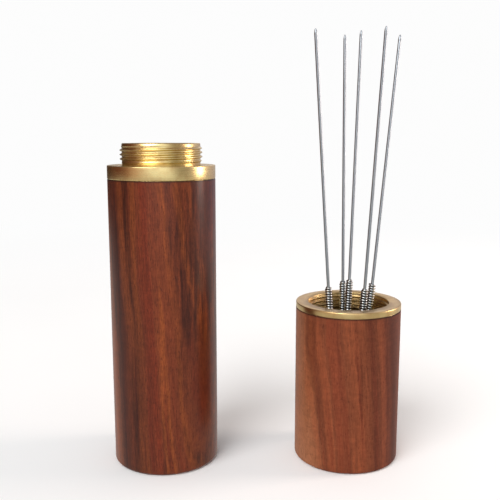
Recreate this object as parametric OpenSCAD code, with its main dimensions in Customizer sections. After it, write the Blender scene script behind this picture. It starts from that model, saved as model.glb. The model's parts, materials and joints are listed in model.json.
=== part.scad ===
// Pocket needle case: a turned wooden tube in two halves that screw together
// through brass ferrules. It stands open. The short half is the needle holder,
// with five needles standing in its bed, and the long half is the cover, which
// stands beside it on its closed end with its threaded spigot up.
// Millimetres. The origin is the centre of the holder's base, +Z is up and the
// front of the open case is -Y.

/* [Case] */
// Outer diameter of the wooden tube
case_d = 25; // [22:0.5:30]
// Diameter of the hole bored in the wood
bore_d = 19.2; // [17:0.1:19.6]
// Rounding of the edge at each closed end
edge_r = 0.9; // [0.4:0.1:1.5]
// Chamfer of the brass edges
brass_chamfer = 0.2; // [0.1:0.05:0.4]

/* [Holder] */
// Height of the holder with its brass flange
holder_h = 38.5; // [34:0.5:44]
// Height of the brass flange round the mouth
flange_h = 1.4; // [1:0.1:2.5]
// Thickness of the wooden floor
holder_floor = 3.5; // [2.5:0.5:5]
// Thickness of the bed that holds the needles
bed_h = 9; // [6:0.5:12]

/* [Cover] */
// Height of the cover with its brass collar, without the spigot
cover_h = 71; // [70:0.5:80]
// Height of the brass collar
collar_h = 3.1; // [2:0.1:5]
// Thickness of the wooden closed end
cover_end = 3.7; // [2.5:0.1:4]
// Thickness of the felt pad in the closed end
pad_h = 1.2; // [0.8:0.1:1.5]
// Centre of the cover, to the left of the holder
cover_x = -44.2; // [-60:0.1:-40]
// Centre of the cover, behind the holder
cover_y = -0.6; // [-10:0.1:10]

/* [Thread] */
// Distance from one thread turn to the next
thread_pitch = 1; // [0.8:0.1:1.2]
// Number of thread turns
thread_turns = 4; // [3:1:4]
// Depth of the thread
thread_depth = 0.45; // [0.3:0.05:0.5]
// Length of the threaded spigot on the cover
spigot_h = 5; // [4.8:0.1:6]
// Diameter of the hole through the spigot
spigot_bore_d = 15.8; // [14:0.1:16]
// Play between the two threads, on the radius
thread_play = 0.1; // [0.05:0.01:0.15]

/* [Needles] */
// Diameter of the needle wire
needle_d = 0.75; // [0.5:0.05:0.8]
// Outer diameter of the wound handle
handle_d = 1.8; // [1.4:0.1:1.9]
// Length of the wound handle
handle_l = 36.5; // [34:0.5:37]
// Length of the bare needle above the handle
blade_l = 60; // [50:1:62]
// Length of the ground point
point_l = 1.2; // [0.8:0.2:4]
// Wire left bare below the handle
tail_l = 0.4; // [0.2:0.1:0.6]

/* [Hidden] */
$fn = 96;

// One row a needle: x and y of the handle's top, how far that top stands above
// the holder's mouth, and the lean to the right and to the back in degrees.
needle_rows = [
    [-4.8, 0.5, 3.4, -3.8, 0.0],
    [-0.4, 7.3, 3.4, -0.3, 3.1],
    [0.9, 4.9, 4.3, 2.0, 4.0],
    [3.6, -1.9, 3.4, 3.0, -0.8],
    [6.4, 3.8, 3.5, 5.6, 4.6]
];

case_r = case_d / 2;
bore_r = bore_d / 2;
ferrule_wall = 0.8;          // brass sleeve inside the wood
ferrule_seat_h = 8.5;        // how far each ferrule reaches into the wood
glue_gap = 0.05;             // film of glue between brass and wood
fit_gap = 0.1;               // loose pieces stand this far apart
socket_play = 0.15;          // radius of a bed socket over the handle's
thread_lead = 0.5;           // plain length before the first thread turn
needle_tip_r = 0.03;
wire_play = 0.01;            // between the needle and its winding

seat_r = bore_r + ferrule_wall;
holder_wood_h = holder_h - flange_h;
cover_wood_h = cover_h - collar_h;
bed_r = bore_r - fit_gap;
bed_top = holder_floor + bed_h;
female_crest_r = bore_r - thread_depth;
male_crest_r = bore_r - thread_play;
male_root_r = male_crest_r - thread_depth;

// Wooden tube, closed and rounded at the bottom, open at the top, with a wider
// seat at the mouth for the brass ferrule.
module wooden_tube(height, end) {
    seat_bottom = height - ferrule_seat_h;
    rotate_extrude()
        difference() {
            union() {
                translate([0, edge_r])
                    square([case_r, height - edge_r]);
                square([case_r - edge_r, edge_r]);
                translate([case_r - edge_r, edge_r])
                    intersection() {
                        circle(r = edge_r);
                        translate([0, -edge_r])
                            square(edge_r);
                    }
            }
            translate([-1, end])
                square([bore_r + 1, height]);
            translate([-1, seat_bottom])
                square([seat_r + 1, height]);
        }
}

// Outline of a turned brass edge: a band with its outer corners chamfered.
function band_outline(inner, outer, bottom, top) = [
    [inner, bottom],
    [outer - brass_chamfer, bottom],
    [outer, bottom + brass_chamfer],
    [outer, top - brass_chamfer],
    [outer - brass_chamfer, top],
    [inner, top]
];

// Outline of the thread turns, as ridges stacked from start upwards.
function thread_outline(root, crest, start) = [
    for (turn = [0 : thread_turns - 1])
        for (corner = [[0, root], [0.35, crest], [0.5, crest], [0.85, root]])
            [corner[1], start + (turn + corner[0]) * thread_pitch]
];

// Puts its children where needle number i stands: z runs up along the needle
// and z = 0 is the top of the wound handle.
module at_needle(i) {
    row = needle_rows[i];
    translate([row[0], row[1], holder_h + row[2]])
        rotate([-row[4], row[3], 0])
            children();
}

module holder_cup() {
    color("#8a4a30")
        wooden_tube(holder_wood_h, holder_floor);
}

// Flange on the rim, sleeve down inside the wood, female thread in the mouth.
module holder_ferrule() {
    sleeve_bottom = holder_wood_h - ferrule_seat_h + glue_gap;
    thread_start = holder_h - thread_lead - thread_turns * thread_pitch;
    color("#c8b464")
        rotate_extrude()
            difference() {
                union() {
                    polygon(band_outline(0, case_r, holder_wood_h, holder_h));
                    translate([0, sleeve_bottom])
                        square([seat_r - glue_gap, holder_wood_h - sleeve_bottom]);
                }
                polygon(concat(
                    [[0, sleeve_bottom - 1], [bore_r, sleeve_bottom - 1]],
                    thread_outline(bore_r, female_crest_r, thread_start),
                    [[bore_r, holder_h + 1], [0, holder_h + 1]]
                ));
            }
}

// Soft disc on the holder's floor, with one leaning socket a needle.
module needle_bed() {
    color("#a9794b")
        difference() {
            translate([0, 0, holder_floor])
                cylinder(r = bed_r, h = bed_h);
            for (i = [0 : len(needle_rows) - 1])
                at_needle(i)
                    translate([0, 0, -handle_l - tail_l - fit_gap])
                        cylinder(r = handle_d / 2 + socket_play, h = handle_l);
        }
}

// Straight wire with a ground point, from below the handle to the tip.
module needle_shaft(i) {
    color("#b9bbbd")
        at_needle(i)
            rotate_extrude()
                polygon([
                    [0, -handle_l - tail_l],
                    [needle_d / 2, -handle_l - tail_l],
                    [needle_d / 2, blade_l - point_l],
                    [needle_tip_r, blade_l],
                    [0, blade_l]
                ]);
}

// Handle of wire wound round the needle, closing on to it at the top.
module needle_winding(i) {
    inner = needle_d / 2 + wire_play;
    outer = handle_d / 2;
    color("#8f9296")
        at_needle(i)
            rotate_extrude()
                polygon([
                    [inner, -handle_l],
                    [outer, -handle_l],
                    [outer, inner - outer],
                    [inner + 0.1, 0],
                    [inner, 0]
                ]);
}

module cover_sleeve() {
    color("#7c3f2a")
        translate([cover_x, cover_y, 0])
            wooden_tube(cover_wood_h, cover_end);
}

// Collar on the rim, tail down inside the wood, threaded spigot on top.
module cover_ferrule() {
    tail_bottom = cover_wood_h - ferrule_seat_h + glue_gap;
    spigot_top = cover_h + spigot_h;
    thread_start = spigot_top - thread_lead - thread_turns * thread_pitch;
    color("#c8b464")
        translate([cover_x, cover_y, 0])
            rotate_extrude()
                difference() {
                    union() {
                        polygon(band_outline(0, case_r, cover_wood_h, cover_h));
                        translate([0, tail_bottom])
                            square([seat_r - glue_gap, cover_wood_h - tail_bottom]);
                        polygon(concat(
                            [[0, cover_h - 1], [male_root_r, cover_h - 1]],
                            thread_outline(male_root_r, male_crest_r, thread_start),
                            [[male_root_r, spigot_top], [0, spigot_top]]
                        ));
                    }
                    translate([-1, tail_bottom - 1])
                        square([spigot_bore_d / 2 + 1, spigot_top]);
                }
}

// Felt disc that the needle points never reach.
module cover_end_pad() {
    color("#4b2c22")
        translate([cover_x, cover_y, cover_end + glue_gap])
            cylinder(r = bore_r - 3 * fit_gap, h = pad_h);
}

holder_cup();
holder_ferrule();
needle_bed();
for (i = [0 : len(needle_rows) - 1]) {
    needle_shaft(i);
    needle_winding(i);
}
cover_sleeve();
cover_ferrule();
cover_end_pad();
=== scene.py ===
"""Looks of the wooden needle case: turned wood, brass ferrules, steel needles with wound handles.

The case stands open. The holder stands at the origin with five needles in its
bed, and the cover stands beside it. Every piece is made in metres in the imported
model's frame, and rides on the body whose CAD node it stands for.
"""

import json
import math

import bmesh
import bpy
from mathutils import Matrix, Vector, noise


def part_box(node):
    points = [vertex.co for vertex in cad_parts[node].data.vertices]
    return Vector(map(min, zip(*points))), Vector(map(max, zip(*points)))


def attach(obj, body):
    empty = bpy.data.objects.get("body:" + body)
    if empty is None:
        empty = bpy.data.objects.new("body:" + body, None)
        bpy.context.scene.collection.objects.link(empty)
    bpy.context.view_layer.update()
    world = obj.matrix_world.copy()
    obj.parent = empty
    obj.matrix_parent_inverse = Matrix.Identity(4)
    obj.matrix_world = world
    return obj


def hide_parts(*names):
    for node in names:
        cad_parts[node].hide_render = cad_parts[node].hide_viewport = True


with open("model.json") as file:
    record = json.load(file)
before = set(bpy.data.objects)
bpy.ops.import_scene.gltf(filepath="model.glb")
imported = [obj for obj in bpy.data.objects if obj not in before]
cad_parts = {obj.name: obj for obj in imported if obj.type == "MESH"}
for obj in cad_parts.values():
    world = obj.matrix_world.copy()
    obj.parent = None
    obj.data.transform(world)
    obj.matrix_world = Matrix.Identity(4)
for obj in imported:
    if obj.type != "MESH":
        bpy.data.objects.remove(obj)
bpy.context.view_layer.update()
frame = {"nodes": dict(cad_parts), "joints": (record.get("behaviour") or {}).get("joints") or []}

MM = 0.001
RING_STEPS = 192            # points round a turned piece

# Sizes that the CAD nodes' boxes don't give
WOOD_EDGE_R = 0.9 * MM      # rounding of the closed end
COLLAR_H = 3.1 * MM
WOOD_MOUTH_CHAMFER = 0.14 * MM
BRASS_CHAMFER = 0.2 * MM
MOUTH_CHAMFER = 0.12 * MM   # inside edge of the holder's mouth
FIT_GAP = 0.1 * MM          # between the bed and the bored wood
GLUE_GAP = 0.05 * MM        # between brass and wood
FERRULE_WALL = 0.8 * MM
THREAD_PITCH = 1.0 * MM
THREAD_DEPTH = 0.45 * MM
THREAD_TURNS = 4
THREAD_LEAD = 0.5 * MM      # plain length between the thread and the mouth
THREAD_PLAY = 0.1 * MM
THREAD_ROWS = 14            # rows of points in one pitch of a thread
SPIGOT_BORE_R = 7.9 * MM
NEEDLE_R = 0.375 * MM
POINT_L = 1.2 * MM          # ground point of a needle
HANDLE_R = 0.9 * MM
WINDING_WIRE_R = 0.26 * MM
WINDING_PITCH = 0.62 * MM
WINDING_DOME_H = 0.7 * MM   # the last turns rise this far as they close in
WINDING_DOME_TURNS = 1.6
SOCKET_PLAY = 0.1 * MM      # radius of a bed socket over the handle's
SOCKET_FLARE = 0.35 * MM
NEEDLES = range(1, 6)


# ---------------------------------------------------------------- node helpers

class Graph:
    """Makes and wires the shader nodes of a material or a world."""

    def __init__(self, owner):
        owner.use_nodes = True
        self.owner = owner
        self.tree = owner.node_tree

    def set_input(self, socket, value):
        if isinstance(value, bpy.types.NodeSocket):
            self.tree.links.new(value, socket)
        else:
            socket.default_value = value

    def node(self, kind, inputs=None, **settings):
        made = self.tree.nodes.new(kind)
        for key, value in settings.items():
            setattr(made, key, value)
        for key, value in (inputs or {}).items():
            self.set_input(made.inputs[key], value)
        return made

    def math(self, operation, a, b=0.0):
        return self.node("ShaderNodeMath", {0: a, 1: b}, operation=operation).outputs[0]

    def vector_math(self, operation, a, b=(0.0, 0.0, 0.0)):
        made = self.node("ShaderNodeVectorMath", {0: a, 1: b}, operation=operation)
        output = "Value" if operation == "LENGTH" else "Vector"
        return made.outputs[output]

    def millimetres(self, centre=(0.0, 0.0, 0.0)):
        """Object coordinates in millimetres, counted from a centre in metres."""
        coordinates = self.node("ShaderNodeTexCoord").outputs["Object"]
        moved = self.vector_math("SUBTRACT", coordinates, tuple(centre))
        return self.vector_math("MULTIPLY", moved, (1 / MM, 1 / MM, 1 / MM))

    def split(self, vector):
        made = self.node("ShaderNodeSeparateXYZ", {0: vector})
        return made.outputs[0], made.outputs[1], made.outputs[2]

    def join(self, x, y, z):
        return self.node("ShaderNodeCombineXYZ", {0: x, 1: y, 2: z}).outputs[0]

    def noise(self, vector, scale=1.0, detail=2.0, roughness=0.5, distortion=0.0):
        made = self.node("ShaderNodeTexNoise", {
            "Vector": vector,
            "Scale": scale,
            "Detail": detail,
            "Roughness": roughness,
            "Distortion": distortion,
        })
        return made.outputs["Fac"]

    def cells(self, vector, scale=1.0):
        made = self.node("ShaderNodeTexVoronoi", {"Vector": vector, "Scale": scale})
        return made.outputs["Distance"], made.outputs["Color"]

    def ramp(self, factor, stops, interpolation="EASE"):
        made = self.node("ShaderNodeValToRGB", {0: factor})
        ramp = made.color_ramp
        ramp.interpolation = interpolation
        while len(ramp.elements) < len(stops):
            ramp.elements.new(0.5)
        for element, (position, colour) in zip(ramp.elements, stops):
            element.position = position
            element.color = (*colour, 1.0)
        return made.outputs["Color"]

    def levels(self, factor, low, high, out_low=0.0, out_high=1.0):
        made = self.node("ShaderNodeMapRange", {
            0: factor,
            1: low,
            2: high,
            3: out_low,
            4: out_high,
        }, interpolation_type="SMOOTHSTEP")
        return made.outputs[0]

    def mix(self, factor, a, b, blend="MIX"):
        made = self.node("ShaderNodeMix", data_type="RGBA", blend_type=blend)
        self.set_input(made.inputs["Factor"], factor)
        for socket, value in ((made.inputs[6], a), (made.inputs[7], b)):
            self.set_input(socket, (*value, 1.0) if isinstance(value, tuple) else value)
        return made.outputs[2]

    def bump(self, height, distance, strength):
        return self.node("ShaderNodeBump", {
            "Height": height,
            "Distance": distance,
            "Strength": strength,
        }).outputs[0]

    def finish(self, **sockets):
        """Sets the material's own shader, one argument a socket."""
        shader = self.tree.nodes["Principled BSDF"]
        for key, value in sockets.items():
            name = key.replace("_", " ").title().replace("Ior", "IOR")
            self.set_input(shader.inputs[name], value)
        return self.owner


def linear(red, green, blue):
    """A display colour from 0 to 255 as linear light."""
    def one(value):
        share = value / 255
        if share <= 0.04045:
            return share / 12.92
        return ((share + 0.055) / 1.055) ** 2.4
    return (one(red), one(green), one(blue))


# ------------------------------------------------------------------- materials

def rosewood(name, centre, palette, pith, slant, sapwood, vein_seed, vein_strength,
             ripple_depth, fleck_depth, streaks, seam_z, coat, roughness):
    """Oiled or polished rosewood. The figure is a solid one, so stripes on the
    side become curved growth bands on the end grain.

    palette: dark vein, brown, red-brown, orange-brown and pale sapwood, as linear
    colours.
    pith: where the tree's centre lies from the piece's axis, in millimetres.
    slant: how far the figure moves away from the pith over one unit of height.
    sapwood: distances from the pith where the pale wood starts and is full.
    vein_seed, vein_strength: which dark veins it has, and how dark, from 0 to 1.
    ripple_depth: how far the wavy grain lightens and darkens it.
    fleck_depth: how far the fibres lighten and darken it.
    streaks: broad dark streaks, each with its distance from the pith, half its
    width in millimetres and how dark it is. A broad one can also paint shade on one side of the
    piece.
    seam_z: height of the joint with the brass, where a narrow band of the wood is darkened.
    """
    g = Graph(bpy.data.materials.new(name))
    vein, brown, red, orange, pale = palette
    point = g.millimetres(centre)
    x, y, z = g.split(point)

    # Distance from the pith, pushed about by slow waves along the grain.
    sway = g.noise(g.vector_math("MULTIPLY", point, (0.045, 0.045, 0.02)), detail=1.0)
    sway = g.math("MULTIPLY", g.math("SUBTRACT", sway, 0.5), 5.0)
    tilt = g.math("MULTIPLY", z, slant)
    from_pith = g.vector_math("LENGTH", g.join(
        g.math("SUBTRACT", x, pith[0]),
        g.math("SUBTRACT", y, pith[1]),
        0.0,
    ))
    ring = g.math("ADD", from_pith, g.math("ADD", sway, tilt))
    waver = g.noise(g.vector_math("MULTIPLY", point, (0.5, 0.5, 0.12)), detail=2.0)
    ring = g.math("ADD", ring, g.math("MULTIPLY", waver, 0.9))

    # Broad colour bands, and dark veins of uneven width along them.
    bands = g.noise(g.join(ring, g.math("MULTIPLY", z, 0.015), 3.7), 0.42, 3.0, 0.6)
    colour = g.ramp(bands, [
        (0.34, red),
        (0.46, brown),
        (0.57, orange),
        (0.70, red),
    ])
    veins = g.noise(g.join(ring, g.math("MULTIPLY", z, 0.03), vein_seed), 0.6, 2.0, 0.55)
    vein_share = g.levels(veins, 0.47, 0.70, 0.0, vein_strength)
    broken = g.noise(g.vector_math("MULTIPLY", point, (0.9, 0.9, 0.06)), detail=4.0,
                     roughness=0.65)
    vein_share = g.math("MULTIPLY", vein_share, g.levels(broken, 0.34, 0.60, 0.2, 1.0))
    colour = g.mix(vein_share, colour, vein)
    lines = g.noise(g.join(ring, g.math("MULTIPLY", z, 0.05), 8.0), 4.2, 2.0, 0.6)
    line_tone = g.levels(lines, 0.3, 0.7, 0.91, 1.07)
    colour = g.mix(1.0, colour, g.join(line_tone, line_tone, line_tone), "MULTIPLY")
    colour = g.mix(g.levels(ring, *sapwood, 0.0, 0.7), colour, pale)
    for distance, half_width, darkness in streaks:
        away = g.math("ABSOLUTE", g.math("SUBTRACT", ring, distance))
        colour = g.mix(g.levels(away, 0.0, half_width, darkness, 0.0), colour, vein)

    # Interlocked grain: a soft ripple that crosses the stripes.
    ripple = g.noise(g.vector_math("MULTIPLY", point, (0.5, 0.5, 1.1)), detail=2.0,
                     roughness=0.5, distortion=1.0)
    ripple_tone = g.levels(ripple, 0.3, 0.7, 1.0 - ripple_depth, 1.0 + ripple_depth)
    colour = g.mix(1.0, colour, g.join(ripple_tone, ripple_tone, ripple_tone), "MULTIPLY")

    # Fibres and open pores, long along the grain.
    fibres = g.noise(g.vector_math("MULTIPLY", point, (3.6, 3.6, 0.45)), detail=4.0,
                     roughness=0.7, distortion=0.7)
    fibre_tone = g.levels(fibres, 0.28, 0.74, 1.0 - fleck_depth, 1.0 + fleck_depth)
    colour = g.mix(1.0, colour, g.join(fibre_tone, fibre_tone, fibre_tone), "MULTIPLY")
    pore_distance, _ = g.cells(g.vector_math("MULTIPLY", point, (2.6, 2.6, 0.5)))
    pores = g.levels(pore_distance, 0.08, 0.24, 1.0, 0.0)
    colour = g.mix(g.math("MULTIPLY", pores, 0.6), colour, vein)

    # A narrow dark band in the wood at the joint with the brass.
    seam = g.levels(g.math("ABSOLUTE", g.math("SUBTRACT", z, seam_z)), 0.05, 0.5, 0.75, 0.0)
    colour = g.mix(seam, colour, (0.012, 0.006, 0.005))

    rough = g.math("ADD", g.math("MULTIPLY", fibres, 0.16), roughness - 0.08)
    rough = g.math("ADD", rough, g.math("MULTIPLY", pores, 0.12))
    height = g.math("SUBTRACT", g.math("MULTIPLY", fibres, 0.35), pores)
    normal = g.bump(height, 0.02 * MM, 0.55)
    return g.finish(
        base_color=colour,
        roughness=rough,
        normal=normal,
        coat_weight=coat,
        coat_roughness=0.2,
        specular_ior_level=0.12,
    )


def turned_brass(name, centre, colour, tarnish, roughness, line_depth):
    """Brass with the fine rings that a lathe tool leaves, on faces and sides."""
    g = Graph(bpy.data.materials.new(name))
    point = g.millimetres(centre)
    x, y, z = g.split(point)
    radius = g.vector_math("LENGTH", g.join(x, y, 0.0))
    lines = g.noise(g.join(g.math("MULTIPLY", radius, 9.0), g.math("MULTIPLY", z, 9.0), 0.0),
                    detail=4.0, roughness=0.75)
    broad = g.noise(g.join(radius, z, 5.0), scale=1.6, detail=2.0)
    stains = g.noise(point, scale=0.35, detail=4.0, roughness=0.6)
    scuffs = g.noise(g.vector_math("MULTIPLY", point, (2.2, 2.2, 2.2)), detail=5.0,
                     roughness=0.8)
    tone = g.levels(stains, 0.35, 0.75, 0.0, 0.55)
    base = g.mix(tone, colour, tarnish)
    line_tone = g.levels(lines, 0.25, 0.75, 0.86, 1.08)
    base = g.mix(1.0, base, g.join(line_tone, line_tone, line_tone), "MULTIPLY")
    rough = g.math("ADD", roughness, g.math("MULTIPLY", g.math("SUBTRACT", broad, 0.5), 0.14))
    rough = g.math("ADD", rough, g.math("MULTIPLY", g.math("SUBTRACT", scuffs, 0.5), 0.06))
    normal = g.bump(lines, line_depth, 0.6)
    return g.finish(base_color=base, metallic=1.0, roughness=rough, normal=normal)


def drawn_steel(name, colour, roughness, stretch, painted_groove_shade=0.0):
    """Drawn wire: faint scratches along its length and a little uneven dulling.

    painted_groove_shade: how dark the shade painted between the turns of a winding is, from 0 to
    1.
    The winding's crest attribute is 1 where a turn faces out and -1 at its core.
    """
    g = Graph(bpy.data.materials.new(name))
    point = g.millimetres()
    scratches = g.noise(g.vector_math("MULTIPLY", point, stretch), detail=3.0, roughness=0.7)
    dulling = g.noise(point, scale=0.5, detail=3.0)
    tone = g.levels(scratches, 0.25, 0.75, 0.82, 1.1)
    base = g.mix(1.0, colour, g.join(tone, tone, tone), "MULTIPLY")
    if painted_groove_shade > 0:
        # Painted shade: the grooves between the turns are darkened towards each turn's core,
        # where shade falls, not dirt.
        crest = g.node("ShaderNodeAttribute", attribute_name="crest").outputs["Fac"]
        groove = g.levels(crest, 0.35, 0.97, painted_groove_shade, 0.0)
        base = g.mix(groove, base, linear(24, 24, 24))
    rough = g.math("ADD", roughness, g.math("MULTIPLY", g.math("SUBTRACT", dulling, 0.5), 0.2))
    normal = g.bump(scratches, 0.006 * MM, 0.4)
    return g.finish(base_color=base, metallic=1.0, roughness=rough, normal=normal)


def pressed_cork(name):
    """Cork granules of several browns with dark specks of bark."""
    g = Graph(bpy.data.materials.new(name))
    point = g.millimetres()
    distance, cell_colour = g.cells(point, scale=1.1)
    shade, _, _ = g.split(cell_colour)
    base = g.ramp(shade, [
        (0.0, linear(122, 84, 50)),
        (0.4, linear(160, 116, 74)),
        (0.75, linear(184, 140, 94)),
        (1.0, linear(140, 96, 58)),
    ], "LINEAR")
    specks = g.levels(g.noise(point, scale=3.1, detail=4.0, roughness=0.7), 0.62, 0.72)
    base = g.mix(g.math("MULTIPLY", specks, 0.7), base, linear(62, 36, 22))
    grain = g.noise(point, scale=6.0, detail=3.0)
    height = g.math("SUBTRACT", g.math("MULTIPLY", grain, 0.5), distance)
    return g.finish(base_color=base, roughness=0.9, normal=g.bump(height, 0.12 * MM, 0.7))


def pressed_felt(name):
    """Dark felt: matted fibres and a soft sheen."""
    g = Graph(bpy.data.materials.new(name))
    point = g.millimetres()
    fibres = g.noise(point, scale=5.0, detail=6.0, roughness=0.75, distortion=2.2)
    clumps = g.noise(point, scale=0.8, detail=2.0)
    base = g.ramp(fibres, [
        (0.3, linear(48, 24, 20)),
        (0.55, linear(88, 46, 36)),
        (0.75, linear(124, 76, 60)),
    ])
    tone = g.levels(clumps, 0.3, 0.7, 0.85, 1.15)
    base = g.mix(1.0, base, g.join(tone, tone, tone), "MULTIPLY")
    return g.finish(
        base_color=base,
        roughness=0.95,
        normal=g.bump(fibres, 0.15 * MM, 0.8),
        sheen_weight=0.4,
        sheen_roughness=0.5,
    )


def room_colour(g, vector, room):
    """What a reflection shows in a direction, from rows of degrees and colour."""
    x, y, _ = g.split(vector)
    turn = g.math("ARCTAN2", x, g.math("MULTIPLY", y, -1.0))
    share = g.math("ADD", g.math("MULTIPLY", turn, 0.5 / math.pi), 0.5)
    return g.ramp(share, [(0.5 + degrees / 360, colour) for degrees, colour in room])


def pale_floor(name, backdrop, mirrored_near, room):
    """Matt pale floor that fades into the backdrop. Reflections show it in another
    colour, which fades into the room."""
    g = Graph(bpy.data.materials.new(name))
    coordinates = g.millimetres()
    cloud = g.noise(coordinates, scale=0.004, detail=3.0)
    base = g.ramp(cloud, [(0.3, linear(246, 246, 246)), (0.7, linear(250, 250, 250))])
    g.finish(base_color=base, roughness=0.9, specular_ior_level=0.0)
    matt = g.tree.nodes["Principled BSDF"].outputs[0]
    distance = g.vector_math("LENGTH", coordinates)
    glow = g.node("ShaderNodeEmission", {"Strength": backdrop}).outputs[0]
    faded = g.node("ShaderNodeMixShader", {
        0: g.levels(distance, 120.0, 500.0),
        1: matt,
        2: glow,
    })
    mirrored = g.mix(
        g.levels(distance, 150.0, 700.0),
        mirrored_near,
        room_colour(g, coordinates, room),
    )
    seen = g.node("ShaderNodeMixShader", {
        0: g.node("ShaderNodeLightPath").outputs["Is Glossy Ray"],
        1: faded.outputs[0],
        2: g.node("ShaderNodeEmission", {"Color": mirrored}).outputs[0],
    })
    g.set_input(g.tree.nodes["Material Output"].inputs["Surface"], seen.outputs[0])
    return g.owner


# -------------------------------------------------------------------- geometry

def new_piece(name, mesh, material, sharp_angle=35.0):
    """A smooth-shaded object from a mesh, with its sharp edges kept."""
    for polygon in mesh.polygons:
        polygon.use_smooth = True
    mesh.set_sharp_from_angle(angle=math.radians(sharp_angle))
    mesh.materials.append(material)
    piece = bpy.data.objects.new(name, mesh)
    bpy.context.scene.collection.objects.link(piece)
    return piece


def arc(centre_r, centre_z, radius, start, end, steps):
    """Points on a circular arc of an outline, angles in degrees."""
    points = []
    for step in range(steps + 1):
        angle = math.radians(start + (end - start) * step / steps)
        points.append((centre_r + radius * math.cos(angle), centre_z + radius * math.sin(angle)))
    return points


def lathe(name, outline, centre=(0.0, 0.0), change=None, steps=RING_STEPS):
    """Turns a closed outline of (radius, height) points about a vertical axis.

    change(angle, radius, height), if given, returns the radius and height to use.
    Points at radius 0 become one vertex each.
    """
    vertices = []
    rows = []
    for radius, height in outline:
        if radius <= 1e-9:
            rows.append([len(vertices)])
            vertices.append((centre[0], centre[1], height))
            continue
        row = []
        for step in range(steps):
            angle = 2 * math.pi * step / steps
            r, z = (radius, height) if change is None else change(angle, radius, height)
            row.append(len(vertices))
            vertices.append((centre[0] + r * math.cos(angle), centre[1] + r * math.sin(angle), z))
        rows.append(row)
    faces = []
    closed = len(rows[0]) > 1 or len(rows[-1]) > 1
    pairs = list(zip(rows, rows[1:]))
    if closed:
        pairs.append((rows[-1], rows[0]))
    for low, high in pairs:
        for step in range(steps):
            after = (step + 1) % steps
            corners = [
                low[step % len(low)],
                low[after % len(low)],
                high[after % len(high)],
                high[step % len(high)],
            ]
            unique = list(dict.fromkeys(corners))
            if len(unique) > 2:
                faces.append(unique)
    mesh = bpy.data.meshes.new(name)
    mesh.from_pydata(vertices, [], faces)
    mesh.update()
    tidy = bmesh.new()
    tidy.from_mesh(mesh)
    bmesh.ops.recalc_face_normals(tidy, faces=tidy.faces)
    tidy.to_mesh(mesh)
    tidy.free()
    return mesh


def thread_wave(share):
    """Height of a thread over one pitch: a flank up, a crest, a flank down, a root."""
    flank, crest = 0.32, 0.14
    if share < flank:
        rise = share / flank
    elif share < flank + crest:
        rise = 1.0
    elif share < 2 * flank + crest:
        rise = (2 * flank + crest - share) / flank
    else:
        rise = 0.0
    return rise * rise * (3 - 2 * rise)


def thread_rows(radius, bottom, top):
    """Outline points close enough together to carry a helical thread."""
    count = round((top - bottom) / THREAD_PITCH * THREAD_ROWS)
    return [(radius, bottom + (top - bottom) * row / count) for row in range(count + 1)]


def helical(root_radius, depth, bottom, top):
    """A change for lathe(): cuts or raises a helical thread between two heights."""
    run_out = THREAD_PITCH * 0.8

    def change(angle, radius, height):
        if abs(radius - root_radius) > 1e-7 or not bottom < height < top:
            return radius, height
        share = ((height - bottom) / THREAD_PITCH - angle / (2 * math.pi)) % 1.0
        fade = min(1.0, (height - bottom) / run_out, (top - height) / run_out)
        return radius + depth * thread_wave(share) * fade, height

    return change


def wooden_tube(name, radius, bore, seat, floor, seat_bottom, top, centre, material):
    """Turned tube: rounded closed end, straight side, seat for the ferrule."""
    outline = [(0.0, 0.0), (radius * 0.3, 0.0), (radius * 0.7, 0.0)]
    outline += arc(radius - WOOD_EDGE_R, WOOD_EDGE_R, WOOD_EDGE_R, -90, 0, 10)
    side_steps = 24
    side_bottom = WOOD_EDGE_R
    side_top = top - WOOD_MOUTH_CHAMFER
    for step in range(1, side_steps + 1):
        outline.append((radius, side_bottom + (side_top - side_bottom) * step / side_steps))
    outline += [
        (radius - WOOD_MOUTH_CHAMFER, top),
        (seat, top),
        (seat, seat_bottom),
        (bore, seat_bottom),
        (bore, floor),
        (0.0, floor),
    ]
    return new_piece(name, lathe(name, outline, centre), material)


def band(inner_bottom, inner_top, outer, bottom, top, mouth_chamfer):
    """Outline of a brass band's outside and top, from its lower face to its mouth."""
    points = [(inner_bottom, bottom), (outer - BRASS_CHAMFER * 0.6, bottom)]
    points += arc(outer - BRASS_CHAMFER, bottom + BRASS_CHAMFER, BRASS_CHAMFER, -90, 0, 4)[1:]
    points += arc(outer - BRASS_CHAMFER, top - BRASS_CHAMFER, BRASS_CHAMFER, 0, 90, 4)
    points.append((inner_top + mouth_chamfer, top))
    return points


def holder_ferrule(name, material):
    """Flange on the rim, sleeve inside the wood, female thread in the mouth."""
    low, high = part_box("holder_ferrule")
    outer = (high.x - low.x) / 2
    wood_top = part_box("holder_cup")[1].z
    thread_top = high.z - THREAD_LEAD
    thread_bottom = thread_top - THREAD_TURNS * THREAD_PITCH
    sleeve = seat_r - GLUE_GAP
    outline = [(bore_r, low.z), (sleeve, low.z), (sleeve, wood_top)]
    outline += band(sleeve + 0.1 * MM, bore_r, outer, wood_top, high.z, MOUTH_CHAMFER)
    outline.append((bore_r, high.z - MOUTH_CHAMFER))
    outline += reversed(thread_rows(bore_r, thread_bottom, thread_top))
    change = helical(bore_r, -THREAD_DEPTH, thread_bottom, thread_top)
    return new_piece(name, lathe(name, outline, change=change), material, 50.0)


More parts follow.
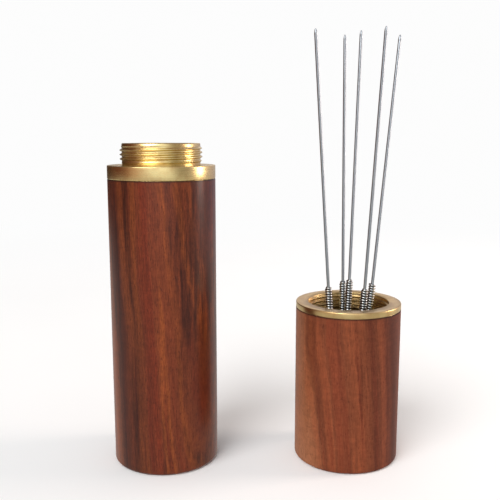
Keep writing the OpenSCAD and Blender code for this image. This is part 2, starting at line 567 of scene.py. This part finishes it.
def cover_ferrule(name, material):
    """Collar on the rim, tail inside the wood, spigot with its male thread."""
    low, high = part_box("cover_ferrule")
    centre = ((low.x + high.x) / 2, (low.y + high.y) / 2)
    outer = (high.x - low.x) / 2
    wood_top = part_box("cover_sleeve")[1].z
    collar_top = wood_top + COLLAR_H
    tail = seat_r - GLUE_GAP
    root = bore_r - THREAD_PLAY - THREAD_DEPTH
    thread_top = high.z - THREAD_LEAD
    thread_bottom = thread_top - THREAD_TURNS * THREAD_PITCH
    outline = [(SPIGOT_BORE_R, low.z), (tail, low.z), (tail, wood_top)]
    outline += band(tail + 0.1 * MM, root, outer, wood_top, collar_top, 0.0)
    outline += thread_rows(root, thread_bottom, thread_top)
    outline += [
        (root, high.z - 0.15 * MM),
        (root - 0.15 * MM, high.z),
        (SPIGOT_BORE_R + 0.2 * MM, high.z),
        (SPIGOT_BORE_R, high.z - 0.2 * MM),
    ]
    change = helical(root, THREAD_DEPTH, thread_bottom, thread_top)
    return new_piece(name, lathe(name, outline, centre, change), material, 50.0)


def needle_line(index):
    """A needle's direction, a point on its axis, and the lengths along it of the
    wire's two ends and of the winding's two ends."""
    joint = joints[f"needle_{index}_pull"]
    direction = Vector(joint["axis"]).normalized()

    def ends(node):
        along = [v.co.dot(direction) for v in frame["nodes"][node].data.vertices]
        return min(along), max(along)

    low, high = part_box(f"needle_{index}_winding")
    middle = (low + high) / 2
    wire = ends(f"needle_{index}_shaft")
    winding = ends(f"needle_{index}_winding")
    axis_point = middle - direction * middle.dot(direction)
    return direction, axis_point, wire, winding


def stand_on_line(mesh, direction, axis_point):
    """Turns a mesh made along +Z so that it runs along a needle's line."""
    turn = Vector((0, 0, 1)).rotation_difference(direction).to_matrix().to_4x4()
    mesh.transform(Matrix.Translation(axis_point) @ turn)
    mesh.update()


def needle_shaft(index, material):
    """Straight wire with a short ground point."""
    direction, axis_point, wire, winding = needle_line(index)
    name = f"needle_{index}_wire"
    point_start = wire[1] - POINT_L
    outline = [(0.0, wire[0]), (NEEDLE_R * 0.8, wire[0]), (NEEDLE_R, wire[0] + 0.1 * MM)]
    for share in (0.0, 0.25, 0.5, 0.75, 1.0):
        outline.append((NEEDLE_R, winding[1] + (point_start - winding[1]) * share))
    for share in (0.2, 0.4, 0.6, 0.8, 0.93):
        outline.append((NEEDLE_R * math.sqrt(1 - share ** 1.5), point_start + POINT_L * share))
    outline.append((0.0, wire[1]))
    mesh = lathe(name, outline, steps=24)
    stand_on_line(mesh, direction, axis_point)
    return new_piece(name, mesh, material)


def needle_winding(index, flat_top, start_turn, material):
    """Handle of wire wound round the needle, turn by turn. Its last turns close in
    and the wire's end sinks into the needle, or it ends square where flat_top is true."""
    direction, axis_point, _, winding = needle_line(index)
    name = f"needle_{index}_handle"
    coil_r = HANDLE_R - WINDING_WIRE_R
    closed_r = NEEDLE_R * 0.85
    dome_h = 0.0 if flat_top else WINDING_DOME_H
    bottom = winding[0] + WINDING_WIRE_R
    top = winding[1] - WINDING_WIRE_R - dome_h
    turns = (top - bottom) / WINDING_PITCH
    steps_a_turn = 24
    sides = 10
    count = round(turns * steps_a_turn)
    path = []
    for step in range(count + 1):
        share = step / count
        angle = -2 * math.pi * (turns * share + start_turn)
        path.append(Vector((
            coil_r * math.cos(angle),
            coil_r * math.sin(angle),
            bottom + (top - bottom) * share,
        )))
    dome_steps = 0 if flat_top else round(WINDING_DOME_TURNS * steps_a_turn)
    for step in range(1, dome_steps + 1):
        closing = step / dome_steps * math.pi / 2
        angle = -2 * math.pi * (turns + start_turn + step / steps_a_turn)
        radius = closed_r + (coil_r - closed_r) * math.cos(closing)
        path.append(Vector((
            radius * math.cos(angle),
            radius * math.sin(angle),
            top + dome_h * math.sin(closing),
        )))
    count = len(path) - 1
    vertices = []
    faces = []
    crests = []
    for step, place in enumerate(path):
        before = path[max(0, step - 1)]
        after = path[min(count, step + 1)]
        forward = (after - before).normalized()
        outward = Vector((place.x, place.y, 0.0)).normalized()
        side = forward.cross(outward).normalized()
        outward = side.cross(forward)
        for corner in range(sides):
            angle = 2 * math.pi * corner / sides
            offset = outward * math.cos(angle) + side * math.sin(angle)
            vertices.append(place + offset * WINDING_WIRE_R)
            crests.append(math.cos(angle))
    for step in range(count):
        for corner in range(sides):
            after = (corner + 1) % sides
            start = step * sides
            faces.append((
                start + corner,
                start + after,
                start + sides + after,
                start + sides + corner,
            ))
    faces.append(tuple(reversed(range(sides))))
    faces.append(tuple(range(count * sides, (count + 1) * sides)))
    mesh = bpy.data.meshes.new(name)
    mesh.from_pydata([tuple(v) for v in vertices], [], faces)
    mesh.update()
    mesh.attributes.new("crest", "FLOAT", "POINT").data.foreach_set("value", crests)
    stand_on_line(mesh, direction, axis_point)
    return new_piece(name, mesh, material, 60.0)


def roughened(height_scale, grain, seed):
    """A change for lathe() that makes a soft, uneven top face."""
    def change(angle, radius, height):
        place = Vector((radius * math.cos(angle), radius * math.sin(angle), seed * MM))
        lump = noise.fractal(place / grain, 0.9, 2.0, 4)
        return radius, height + height_scale * (lump - 0.6)
    return change


def disc_outline(radius, bottom, top, edge):
    """Outline of a disc with a rounded upper edge and enough rings to carry lumps."""
    outline = [(0.0, bottom), (radius - 0.1 * MM, bottom), (radius, bottom + 0.1 * MM)]
    outline += arc(radius - edge, top - edge, edge, 0, 90, 5)
    rings = 40
    for ring in range(1, rings):
        outline.append(((radius - edge) * (1 - ring / rings), top))
    outline.append((0.0, top))
    return outline


def needle_bed(name, material):
    """Cork disc with a crumbly top and the sockets cut through it."""
    low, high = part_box("needle_bed")
    lumps = roughened(0.12 * MM, 1.1 * MM, 4.0)

    def top_only(angle, radius, height):
        if height < high.z - 0.5 * MM:
            return radius, height
        return lumps(angle, radius, height - 0.06 * MM)

    mesh = lathe(name, disc_outline((high.x - low.x) / 2, low.z, high.z, 0.4 * MM),
                 change=top_only)
    bed = new_piece(name, mesh, material)
    for index in NEEDLES:
        direction, axis_point, wire, _ = needle_line(index)
        socket_r = HANDLE_R + SOCKET_PLAY
        floor = wire[0] - 0.05 * MM
        mouth = high.z / direction.z - 0.7 * MM
        outline = [
            (0.0, floor),
            (socket_r, floor),
            (socket_r, mouth),
            (socket_r + SOCKET_FLARE, mouth + 1.0 * MM),
            (socket_r + SOCKET_FLARE, mouth + 2.0 * MM),
            (0.0, mouth + 2.0 * MM),
        ]
        cutter_mesh = lathe("socket_cutter", outline, steps=40)
        stand_on_line(cutter_mesh, direction, axis_point)
        cutter = bpy.data.objects.new("socket_cutter", cutter_mesh)
        bpy.context.scene.collection.objects.link(cutter)
        cut = bed.modifiers.new("socket", "BOOLEAN")
        cut.operation = "DIFFERENCE"
        cut.solver = "EXACT"
        cut.object = cutter
        apply_modifiers(bed)
        bpy.data.objects.remove(cutter)
    bed.data.set_sharp_from_angle(angle=math.radians(35))
    return bed


def apply_modifiers(piece):
    """Replaces a piece's mesh with its evaluated one."""
    graph = bpy.context.evaluated_depsgraph_get()
    finished = bpy.data.meshes.new_from_object(piece.evaluated_get(graph))
    piece.modifiers.clear()
    piece.data = finished


def end_pad(name, material):
    """Felt disc, a little crowned and uneven."""
    low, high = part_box("cover_end_pad")
    centre = ((low.x + high.x) / 2, (low.y + high.y) / 2)
    lumps = roughened(0.1 * MM, 1.6 * MM, 9.0)

    def top_only(angle, radius, height):
        if height < high.z - 0.5 * MM:
            return radius, height
        return lumps(angle, radius, height - 0.07 * MM)

    outline = disc_outline((high.x - low.x) / 2, low.z, high.z, 0.35 * MM)
    return new_piece(name, lathe(name, outline, centre, top_only), material)


# ---------------------------------------------------------------- the assembly

joints = {joint["name"]: joint for joint in frame["joints"]}
bed_low, bed_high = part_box("needle_bed")
bore_r = (bed_high.x - bed_low.x) / 2 + FIT_GAP
seat_r = bore_r + FERRULE_WALL

cup_low, cup_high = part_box("holder_cup")
sleeve_low, sleeve_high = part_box("cover_sleeve")
cover_centre = ((sleeve_low.x + sleeve_high.x) / 2, (sleeve_low.y + sleeve_high.y) / 2)
case_r = (cup_high.x - cup_low.x) / 2

holder_wood = rosewood(
    "holder_rosewood",
    centre=(0.0, 0.0, 0.0),
    palette=(
        linear(66, 27, 18),
        linear(114, 59, 36),
        linear(120, 57, 34),
        linear(131, 67, 40),
        linear(168, 110, 75),
    ),
    pith=(52.0, 10.0),
    slant=-0.042,
    sapwood=(62.5, 65.3),
    vein_seed=40.8,
    vein_strength=0.45,
    ripple_depth=0.09,
    fleck_depth=0.19,
    # The streak at 45.5 mm darkens the holder's right side. It is partly a dark streak in the
    # wood and partly painted shade of light falling from the left.
    streaks=((62.2, 0.6, 0.2), (51.8, 2.6, 0.45), (45.5, 6.0, 0.8)),
    seam_z=cup_high.z / MM,
    coat=0.05,
    roughness=0.52,
)
cover_wood = rosewood(
    "cover_rosewood",
    centre=(*cover_centre, 0.0),
    palette=(
        linear(40, 14, 10),
        linear(110, 49, 24),
        linear(103, 39, 18),
        linear(130, 62, 26),
        linear(138, 82, 52),
    ),
    pith=(-41.0, 29.0),
    slant=0.065,
    sapwood=(80.0, 82.0),
    vein_seed=11.0,
    vein_strength=0.8,
    ripple_depth=0.08,
    fleck_depth=0.32,
    streaks=((51.5, 6.5, 0.7), (56.5, 3.0, 0.45), (69.0, 4.0, 0.4)),
    seam_z=sleeve_high.z / MM,
    coat=0.28,
    roughness=0.4,
)
holder_brass = turned_brass(
    "holder_brass",
    centre=(0.0, 0.0, 0.0),
    colour=linear(213, 188, 133),
    tarnish=linear(178, 135, 86),
    roughness=0.30,
    line_depth=0.012 * MM,
)
cover_brass = turned_brass(
    "cover_brass",
    centre=(*cover_centre, 0.0),
    colour=linear(222, 203, 144),
    tarnish=linear(192, 150, 96),
    roughness=0.27,
    line_depth=0.010 * MM,
)
needle_steel = drawn_steel("needle_steel", linear(154, 162, 168), 0.34, (14.0, 14.0, 0.6))
winding_steel = drawn_steel("winding_steel", linear(184, 187, 186), 0.24, (6.0, 6.0, 6.0),
                            painted_groove_shade=0.97)
cork = pressed_cork("pressed_cork")
felt = pressed_felt("pressed_felt")

cup = wooden_tube(
    "holder_body",
    radius=case_r,
    bore=bore_r,
    seat=seat_r,
    floor=bed_low.z,
    seat_bottom=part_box("holder_ferrule")[0].z,
    top=cup_high.z,
    centre=(0.0, 0.0),
    material=holder_wood,
)
sleeve = wooden_tube(
    "cover_body",
    radius=case_r,
    bore=bore_r,
    seat=seat_r,
    floor=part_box("cover_end_pad")[0].z - GLUE_GAP,
    seat_bottom=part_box("cover_ferrule")[0].z,
    top=sleeve_high.z,
    centre=cover_centre,
    material=cover_wood,
)
flange = holder_ferrule("holder_brass_ferrule", holder_brass)
collar = cover_ferrule("cover_brass_ferrule", cover_brass)
bed = needle_bed("cork_bed", cork)
pad = end_pad("felt_pad", felt)

for piece, body, node, slot in (
    (cup, "holder", "holder_cup", "wood_holder"),
    (flange, "holder", "holder_ferrule", "brass"),
    (bed, "holder", "needle_bed", "cork"),
    (sleeve, "cover", "cover_sleeve", "wood_cover"),
    (collar, "cover", "cover_ferrule", "brass"),
    (pad, "cover_pad", "cover_end_pad", "felt"),
):
    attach(piece, body)
    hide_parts(node)

for index in NEEDLES:
    shaft = needle_shaft(index, needle_steel)
    winding = needle_winding(index, index == 5, index * 0.31, winding_steel)
    for piece, node, slot in (
        (shaft, f"needle_{index}_shaft", "needle_steel"),
        (winding, f"needle_{index}_winding", "winding_steel"),
    ):
        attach(piece, f"needle_{index}")
        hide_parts(node)


# ------------------------------------------------- floor, light and the camera

def add_floor(material):
    size = 3.0
    grid = bpy.data.meshes.new("floor")
    corners = [(-size, -size, 0.0), (size, -size, 0.0), (size, size, 0.0), (-size, size, 0.0)]
    grid.from_pydata(corners, [], [(0, 1, 2, 3)])
    grid.materials.append(material)
    floor = bpy.data.objects.new("floor", grid)
    bpy.context.scene.collection.objects.link(floor)
    floor.location.z = -0.02 * MM


def add_softbox(name, place, target, size, power, colour=(1.0, 1.0, 1.0)):
    """A rectangular area light that faces a target point."""
    light = bpy.data.lights.new(name, "AREA")
    light.shape = "RECTANGLE"
    light.size, light.size_y = size
    light.energy = power
    light.color = colour
    lamp = bpy.data.objects.new(name, light)
    lamp.location = place
    lamp.rotation_euler = (Vector(target) - Vector(place)).to_track_quat("-Z", "Y").to_euler()
    bpy.context.scene.collection.objects.link(lamp)


def add_sun(direction, strength, softness):
    """A broad, soft light from very far away, so the floor is lit evenly."""
    light = bpy.data.lights.new("sun", "SUN")
    light.energy = strength
    light.angle = math.radians(softness)
    lamp = bpy.data.objects.new("sun", light)
    lamp.rotation_euler = Vector(direction).to_track_quat("-Z", "Y").to_euler()
    bpy.context.scene.collection.objects.link(lamp)


def add_world(fill, backdrop, room):
    """Even grey fill light, a nearly white backdrop, and a room for reflections."""
    g = Graph(bpy.data.worlds.new("studio"))
    direction = g.node("ShaderNodeTexCoord").outputs["Generated"]
    ray = g.node("ShaderNodeLightPath")
    colour = g.mix(
        ray.outputs["Is Glossy Ray"],
        (fill, fill, fill),
        room_colour(g, direction, room),
    )
    colour = g.mix(ray.outputs["Is Camera Ray"], colour, (backdrop, backdrop, backdrop))
    g.set_input(g.tree.nodes["Background"].inputs["Color"], colour)
    bpy.context.scene.world = g.owner


def add_camera():
    """Stands in front of the case, a little above it, and looks slightly down."""
    camera = bpy.data.cameras.new("camera")
    camera.lens = 50.4
    camera.sensor_width = 36.0
    camera.clip_start = 0.005
    camera.clip_end = 10.0
    view = bpy.data.objects.new("camera", camera)
    view.location = (-0.02363, -0.16437, 0.07722)
    view.rotation_euler = (math.radians(90 - 9.11), 0.0, 0.0)
    bpy.context.scene.collection.objects.link(view)
    bpy.context.scene.camera = view


# What reflections show: degrees round the case, 0 in front and 90 at the right,
# and the colour seen there.
ROOM = [
    (-180, (0.50, 0.46, 0.47)),
    (-140, (0.06, 0.03, 0.02)),
    (-85, (0.17, 0.05, 0.03)),
    (-48, (0.64, 0.39, 0.31)),
    (-12, (1.20, 1.20, 1.25)),
    (12, (1.40, 1.40, 1.45)),
    (48, (0.38, 0.34, 0.30)),
    (85, (0.52, 0.47, 0.52)),
    (125, (0.65, 0.58, 0.72)),
    (180, (0.50, 0.46, 0.47)),
]
FLOOR_IN_REFLECTIONS = (0.70, 0.68, 0.64)
BACKDROP = 0.98
add_floor(pale_floor("pale_floor", BACKDROP, FLOOR_IN_REFLECTIONS, ROOM))
add_world(0.5, BACKDROP, ROOM)
add_sun((0.42, 0.66, -0.66), 2.2, 40.0)
middle = (cover_centre[0] / 2, 0.0, 0.05)
add_softbox("right_window", (0.52, 0.05, 0.17), middle, (0.17, 0.30), 1.9, (1.0, 0.82, 0.72))
add_softbox("back_window", (0.0, 0.90, 0.36), middle, (0.50, 0.20), 0.22, (1.0, 0.90, 0.86))
add_camera()
bpy.context.scene.view_settings.view_transform = "Standard"
